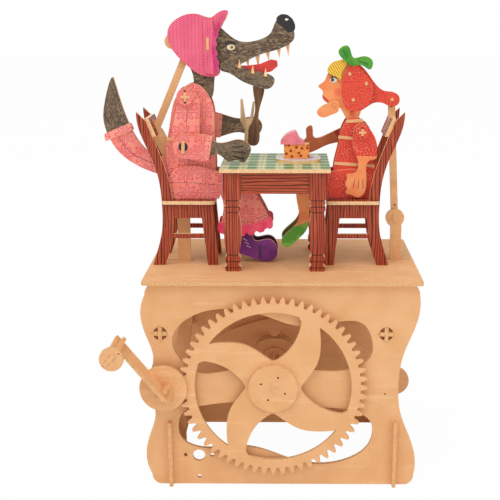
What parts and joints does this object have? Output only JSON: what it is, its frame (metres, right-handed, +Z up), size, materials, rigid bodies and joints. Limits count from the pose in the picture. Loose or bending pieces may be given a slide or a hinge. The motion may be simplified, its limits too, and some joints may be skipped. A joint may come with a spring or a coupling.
{
  "type": "wooden crank automaton",
  "caption": "Hand-cranked wooden toy: a gear turns cams that rock levers, so a capped diner and a doll at a set table nod their heads and open their mouths.",
  "frame": {"origin": "on the floor, below the middle of the stage board, at the lower edge of the front panel's front face", "axes": "+X to the right as seen from the front, +Y away from the front panel towards the back panel, +Z up"},
  "size_m": [0.2636, 0.1978, 0.3908],
  "materials": {
    "natural_board": "raw laser-cut board",
    "stained_wood": "satin",
    "checked_cloth": "satin",
    "plate_paint": "satin",
    "cake_paint": "satin",
    "icing_paint": "satin",
    "coral_paint": "satin",
    "pin_wood": "satin",
    "boot_paint": "satin",
    "fur_paint": "satin",
    "tooth_paint": "satin",
    "cap_paint": "satin",
    "cutlery_paint": "satin",
    "red_paint": "satin",
    "leg_paint": "satin",
    "skin_paint": "satin",
    "hair_paint": "satin",
    "bow_paint": "satin"
  },
  "bodies": {
    "base": {"front_panel": "natural_board", "back_panel": "natural_board", "stage_board": "natural_board", "left_side_board": "natural_board", "right_side_board": "natural_board", "crank_bearing_plate": "natural_board", "left_chair_sides": "stained_wood", "left_chair_seat": "stained_wood", "left_chair_rails": "stained_wood", "right_chair_sides": "stained_wood", "right_chair_seat": "stained_wood", "right_chair_rails": "stained_wood", "table_top": "checked_cloth", "table_legs": "stained_wood", "table_aprons": "stained_wood", "plate": "plate_paint", "cake_slice": "cake_paint", "cake_icing": "icing_paint", "diner_coat_boards": "coral_paint", "diner_pins_and_washers": "pin_wood", "diner_skirt_boards": "coral_paint", "diner_boots": "boot_paint", "diner_tail": "fur_paint", "doll_coat_boards": "red_paint", "doll_pins_and_washers": "pin_wood", "doll_legs": "leg_paint"},
    "gear": {"main_gear": "natural_board", "camshaft_discs": "natural_board", "camshaft_strips": "natural_board", "left_cam": "natural_board", "right_cam": "natural_board"},
    "crank": {"pinion": "natural_board", "crank_discs": "natural_board", "crank_arm": "natural_board", "crank_cross_strips": "natural_board", "crank_knob_disc": "natural_board"},
    "left_lever": {"left_lever": "natural_board", "right_axle_strips": "natural_board", "right_axle_collars": "natural_board"},
    "left_rod": {"left_rod": "natural_board"},
    "diner_head": {"diner_head": "fur_paint", "diner_teeth": "tooth_paint", "diner_cap_boards": "cap_paint"},
    "diner_jaw": {"diner_jaw": "fur_paint"},
    "right_lever": {"right_lever": "natural_board", "left_axle_strips": "natural_board", "left_axle_collars": "natural_board"},
    "right_rod": {"right_rod": "natural_board"},
    "doll_head": {"doll_head": "skin_paint", "doll_hair": "hair_paint", "doll_cap_boards": "red_paint", "doll_bow": "bow_paint"},
    "doll_jaw": {"doll_jaw": "skin_paint"},
    "diner_near_sleeve": {"diner_near_sleeve": "coral_paint"},
    "diner_near_forearm": {"diner_near_forearm": "fur_paint", "fork": "cutlery_paint"},
    "diner_far_arm": {"diner_far_arm": "coral_paint", "knife": "cutlery_paint"},
    "doll_near_arm": {"doll_near_arm": "red_paint"},
    "doll_far_arm": {"doll_far_arm": "red_paint"}
  },
  "joints": [
    {"name": "gear_spin", "type": "hinge", "parent": "base", "child": "gear", "pos_m": [-0.0075, 0, 0.09], "axis": [0, -1, 0], "continuous": true},
    {"name": "crank_spin", "type": "hinge", "parent": "base", "child": "crank", "pos_m": [-0.0975, 0, 0.09], "axis": [0, -1, 0], "continuous": true},
    {"name": "left_lever_tilt", "type": "hinge", "parent": "base", "child": "left_lever", "pos_m": [0.0849, 0, 0.1345], "axis": [0, -1, 0], "range_deg": [0, 0.868]},
    {"name": "left_rod_swing", "type": "hinge", "parent": "left_lever", "child": "left_rod", "pos_m": [-0.108, 0, 0.292], "axis": [0, -1, 0], "range_deg": [0, 2.08]},
    {"name": "diner_head_nod", "type": "hinge", "parent": "base", "child": "diner_head", "pos_m": [-0.068, 0, 0.321], "axis": [0, -1, 0], "range_deg": [0, 7.78]},
    {"name": "diner_jaw_snap", "type": "hinge", "parent": "diner_head", "child": "diner_jaw", "pos_m": [-0.047, 0, 0.3465], "axis": [0, -1, 0], "range_deg": [0, 10.05]},
    {"name": "right_lever_tilt", "type": "hinge", "parent": "base", "child": "right_lever", "pos_m": [-0.0999, 0, 0.1345], "axis": [0, -1, 0], "range_deg": [-2.23, 0]},
    {"name": "right_rod_swing", "type": "hinge", "parent": "right_lever", "child": "right_rod", "pos_m": [0.0968, 0, 0.2164], "axis": [0, -1, 0], "range_deg": [0, 3.06]},
    {"name": "doll_head_nod", "type": "hinge", "parent": "base", "child": "doll_head", "pos_m": [0.058, 0, 0.307], "axis": [0, -1, 0], "range_deg": [-13.06, 0]},
    {"name": "doll_jaw_snap", "type": "hinge", "parent": "doll_head", "child": "doll_jaw", "pos_m": [0.0425, 0, 0.314], "axis": [0, -1, 0], "range_deg": [-7.05, 0]},
    {"name": "diner_near_shoulder", "type": "hinge", "parent": "base", "child": "diner_near_sleeve", "pos_m": [-0.08, 0, 0.322], "axis": [0, -1, 0], "range_deg": [0, 15]},
    {"name": "diner_near_elbow", "type": "hinge", "parent": "diner_near_sleeve", "child": "diner_near_forearm", "pos_m": [-0.0825, 0, 0.281], "axis": [0, -1, 0], "range_deg": [0, 20]},
    {"name": "diner_far_shoulder", "type": "hinge", "parent": "base", "child": "diner_far_arm", "pos_m": [-0.08, 0, 0.322], "axis": [0, -1, 0], "range_deg": [0, 10]},
    {"name": "doll_near_shoulder", "type": "hinge", "parent": "base", "child": "doll_near_arm", "pos_m": [0.066, 0, 0.2925], "axis": [0, -1, 0], "range_deg": [-8, 0]},
    {"name": "doll_far_shoulder", "type": "hinge", "parent": "base", "child": "doll_far_arm", "pos_m": [0.066, 0, 0.2925], "axis": [0, -1, 0], "range_deg": [-10, 0]}
  ],
  "couplings": [
    {"joint": "crank_spin", "follows": "gear_spin", "ratio": -5},
    {"joint": "left_rod_swing", "follows": "left_lever_tilt", "ratio": 2.3428},
    {"joint": "diner_head_nod", "follows": "left_lever_tilt", "ratio": 8.8985},
    {"joint": "diner_jaw_snap", "follows": "left_lever_tilt", "ratio": 11.521},
    {"joint": "right_rod_swing", "follows": "right_lever_tilt", "ratio": -1.3473},
    {"joint": "doll_head_nod", "follows": "right_lever_tilt", "ratio": 5.8278},
    {"joint": "doll_jaw_snap", "follows": "right_lever_tilt", "ratio": 3.1362}
  ]
}
